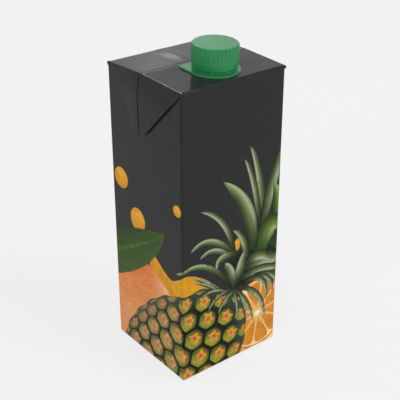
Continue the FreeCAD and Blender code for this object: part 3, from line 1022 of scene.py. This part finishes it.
BAKE_SCALE = 1 / 306  # share of the baked map that a millimetre takes
BAKE_EDGE = 2.0  # room around each area of the map, in millimetres
BAKE_X, BAKE_Y = 42, 37  # a view of the head reaches this far from its middle
BAKE_AREAS = {  # corner of each view's area: the axis it looks along, and its side
    (2, 1): (0, 0), (2, -1): (86, 0), (0, 1): (172, 0), (0, -1): (218, 0),
    (1, 1): (0, 77), (1, -1): (86, 77),
}


def lay_out_bake(mesh):
    """The UV map named OFBake: the unrolled sleeve, and above it six views of the rest."""
    bake = mesh.uv_layers.new(name="OFBake").data
    unrolled = mesh.uv_layers["print"].data
    above = SLEEVE_TOP + 2 * BAKE_EDGE
    for polygon in mesh.polygons:
        middle, normal = polygon.center / MM, polygon.normal
        printed = BASE_Z + 1e-3 < middle.z < SLEEVE_TOP
        axis = max(range(3), key=lambda k: abs(normal[k]))
        left, foot = BAKE_AREAS[axis, 1 if normal[axis] > 0 else -1]
        for i in polygon.loop_indices:
            if printed:
                s, z = unrolled[i].uv * 100
                across, up = s - SEAM_S + BAKE_EDGE, z + BAKE_EDGE
            else:
                x, y, z = mesh.vertices[mesh.loops[i].vertex_index].co / MM
                x, y, z = x + BAKE_X, y + BAKE_Y, max(z, SLEEVE_TOP) - SLEEVE_TOP
                across, up = ((z, y), (x, z), (x, y))[axis]
                across, up = left + across + BAKE_EDGE, above + foot + up
            bake[i].uv = (across * BAKE_SCALE, up * BAKE_SCALE)


def make_skin():
    bm = bmesh.new()
    layers = {
        "local": bm.loops.layers.uv.new("local"),
        "print": bm.loops.layers.uv.new("print"),
        "ink": bm.loops.layers.float_color.new("ink"),
        "facing": bm.loops.layers.float_vector.new("facing"),
    }
    add_rest(bm, layers)
    add_sleeve(bm, layers)
    stitch(bm, STITCH)
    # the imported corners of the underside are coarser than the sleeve's
    gaps = bmesh.ops.holes_fill(bm, edges=[edge for edge in bm.edges if edge.is_boundary], sides=0)
    for loop in (loop for face in gaps["faces"] for loop in face.loops):
        set_corner(loop, layers, (0, 0), (0, 0), BLACK, (0, 0, -1))
    bmesh.ops.triangulate(bm, faces=[face for face in bm.faces if len(face.verts) > 3])
    bm.normal_update()
    mesh = bpy.data.meshes.new("carton_skin")
    directions = [tuple(loop[layers["facing"]]) for face in bm.faces for loop in face.loops]
    bm.loops.layers.float_vector.remove(layers["facing"])
    bm.to_mesh(mesh)
    bm.free()
    mesh.shade_smooth()
    mesh.normals_split_custom_set(directions)
    lay_out_bake(mesh)
    return add_object("carton_skin", mesh)


# ---------- spout and cap

CAP_TILT = math.radians(1.9)  # how far the axis of the spout leans to the front
AXIS = Vector((0, -math.sin(CAP_TILT), math.cos(CAP_TILT)))
FLANGE_KEPT = 0.887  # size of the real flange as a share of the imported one
FLANGE_FROM, FLANGE_TO = 12.5, 16.0  # radii between which that sets in
CAP_BODY = 13.55  # radius of the cap between its ribs
RIB_KEPT = 0.55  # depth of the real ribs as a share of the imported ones


def reshaped(node, name, new_radius):
    """A copy of a CAD node with its points moved towards the axis of the spout."""
    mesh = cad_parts[node].data.copy()
    mesh.name = name
    mesh.materials.clear()
    low, high = (Vector(corner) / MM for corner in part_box("cap"))
    middle = (low + high) / 2
    for vert in mesh.vertices:
        offset = vert.co / MM - middle
        along = AXIS * offset.dot(AXIS)
        out = offset - along
        if out.length > 1e-6:
            out *= new_radius(out.length) / out.length
            vert.co = (middle + along + out) * MM
    piece = add_object(name, mesh)
    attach(piece, "root")
    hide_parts(node)
    return piece


def flange_radius(radius):
    return radius * (1 - (1 - FLANGE_KEPT) * smooth(FLANGE_FROM, FLANGE_TO, radius))


def rib_radius(radius):
    return min(radius, CAP_BODY) + max(radius - CAP_BODY, 0) * RIB_KEPT


# ---------- materials

LAMINATE_IOR = 1.22
PLASTIC_IOR = 1.38
# pairs that a pattern swings between: roughness, and two shades of a colour
BOARD_ROUGH, INK_ROUGH = (0.10, 0.15), (0.24, 0.32)
SPOUT_ROUGH, CAP_ROUGH = (0.26, 0.34), (0.28, 0.38)
BOARD_BLACKS = ((0.0220, 0.0222, 0.0224), (0.0270, 0.0268, 0.0266))
SPOUT_GREENS = ((0.026, 0.265, 0.090), (0.022, 0.235, 0.078))
CAP_GREENS = ((0.024, 0.275, 0.090), (0.020, 0.245, 0.078))


class Look:
    """A node material while it's being built."""

    def __init__(self, name, ior):
        self.material = bpy.data.materials.new(name)
        self.material.use_nodes = True
        self.nodes = self.material.node_tree.nodes
        self.shader = self.nodes["Principled BSDF"]
        self.shader.inputs["IOR"].default_value = ior

    def link(self, output, target):
        self.material.node_tree.links.new(output, target)

    def noise(self, scale, detail=3, source="object", stretch=(1, 1, 1)):
        """Noise between 0 and 1: scale is per metre of the object, or per unit of a UV map."""
        if source == "object":
            place = self.nodes.new("ShaderNodeTexCoord").outputs["Object"]
        else:
            uv = self.nodes.new("ShaderNodeUVMap")
            uv.uv_map = source
            place = uv.outputs["UV"]
        mapping = self.nodes.new("ShaderNodeMapping")
        mapping.inputs["Scale"].default_value = [scale * share for share in stretch]
        self.link(place, mapping.inputs["Vector"])
        texture = self.nodes.new("ShaderNodeTexNoise")
        texture.inputs["Scale"].default_value = 1
        texture.inputs["Detail"].default_value = detail
        self.link(mapping.outputs["Vector"], texture.inputs["Vector"])
        return texture.outputs["Fac"]

    def span(self, value, low, high, reach=0.2):
        """A noise within reach of its middle, 0.5, spread out from low to high."""
        node = self.nodes.new("ShaderNodeMapRange")
        for name, limit in (("From Min", 0.5 - reach), ("From Max", 0.5 + reach),
                            ("To Min", low), ("To Max", high)):
            node.inputs[name].default_value = limit
        self.link(value, node.inputs["Value"])
        return node.outputs["Result"]

    def ink(self):
        """The colour that the mesh carries at each corner."""
        node = self.nodes.new("ShaderNodeAttribute")
        node.attribute_name = "ink"
        return node.outputs["Color"]

    def blend(self, pattern, first, second):
        """A noise in two colours."""
        node = self.nodes.new("ShaderNodeMix")
        node.data_type = "RGBA"
        self.link(self.span(pattern, 0, 1), node.inputs["Factor"])
        node.inputs["A"].default_value = (*first, 1)
        node.inputs["B"].default_value = (*second, 1)
        return node.outputs["Result"]

    def scaled(self, colour, factor):
        node = self.nodes.new("ShaderNodeVectorMath")
        node.operation = "SCALE"
        self.link(colour, node.inputs["Vector"])
        self.link(factor, node.inputs["Scale"])
        return node.outputs["Vector"]

    def relief(self, layers):
        """Fine relief: pairs of a height between 0 and 1, and its depth in millimetres."""
        before = None
        for height, depth in layers:
            bump = self.nodes.new("ShaderNodeBump")
            bump.inputs["Strength"].default_value = 1
            bump.inputs["Distance"].default_value = depth * MM
            self.link(height, bump.inputs["Height"])
            if before:
                self.link(before, bump.inputs["Normal"])
            before = bump.outputs["Normal"]
        self.drive("Normal", before)

    def drive(self, socket, output):
        """Makes an output set one of the surface's own values."""
        self.link(output, self.shader.inputs[socket])


def laminate(look, rough):
    """The gloss film over the board: it's never quite flat, and handling dulls it in places."""
    look.drive("Roughness", look.span(look.noise(70), *rough))
    look.relief(((look.noise(55, 1), 0.05), (look.noise(1600, 2), 0.0012)))


def make_board():
    look = Look("board", LAMINATE_IOR)
    look.drive("Base Color", look.blend(look.noise(420, 4), *BOARD_BLACKS))
    laminate(look, BOARD_ROUGH)
    return look.material


# The texture of each ink: the map it follows, then a broad and a fine pattern in it. A pattern
# has its strength, its scale, and how far it's squeezed along the map where that isn't even.
INKS = {
    "juice": ("print", (0.10, 4, (4, 1, 1)), (0.08, 22, (1, 0.6, 1))),
    "peel": ("print", (0.10, 9, (1, 2.5, 1)), (0.16, 70)),
    "rind": ("print", (0.12, 60), (0.10, 160)),
    "pith": ("print", (0.05, 40), (0.05, 120)),
    "flesh": ("print", (0.14, 16), (0.12, 60)),
    "broad_leaf": ("print", (0.12, 12, (1, 2, 1)), (0.12, 60, (2, 0.6, 1))),
    "fruit": ("print", (0.18, 26), (0.25, 90)),
    "eye": ("print", (0.14, 24), (0.18, 80)),
    "leaf": ("local", (0.16, 1, (1.5, 4, 1)), (0.14, 1, (4, 14, 1))),
}
KINDS = ("board", *INKS)  # the materials of the skin, in order
HALFTONE = (0.04, 3200)  # the fine grain of an offset print, on the object itself


def make_ink(kind, source, broad, fine):
    """A printed colour with its own texture: painted streaks, pores, veins or specks."""
    look = Look(kind, LAMINATE_IOR)
    colour = look.ink()
    for (amount, scale, *stretch), detail, place, reach in (
            (broad, 3, source, 0.2), (fine, 4, source, 0.15), (HALFTONE, 1, "object", 0.2)):
        pattern = look.noise(scale, detail, place, *stretch)
        colour = look.scaled(colour, look.span(pattern, 1 - amount, 1 + amount, reach))
    look.drive("Base Color", colour)
    laminate(look, INK_ROUGH)
    return look.material


def make_plastic(name, greens, rough):
    """Moulded green plastic: faint flow marks, soft waves, and a dulled skin."""
    look = Look(name, PLASTIC_IOR)
    look.drive("Base Color", look.blend(look.noise(140, stretch=(1, 1, 0.4)), *greens))
    look.drive("Roughness", look.span(look.noise(260), *rough))
    look.relief(((look.noise(160, 1), 0.015),))
    return look.material


# ---------- the scene

make_camera()
make_floor()
make_lamps()
make_world()

skin = make_skin()
skin.data.materials.append(make_board())
for kind, texture in INKS.items():
    skin.data.materials.append(make_ink(kind, *texture))
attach(skin, "root")
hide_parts("carton")

spout = reshaped("spout", "spout_skin", flange_radius)
spout.data.materials.append(make_plastic("spout_plastic", SPOUT_GREENS, SPOUT_ROUGH))

cap = reshaped("cap", "cap_skin", rib_radius)
cap.data.materials.append(make_plastic("cap_plastic", CAP_GREENS, CAP_ROUGH))
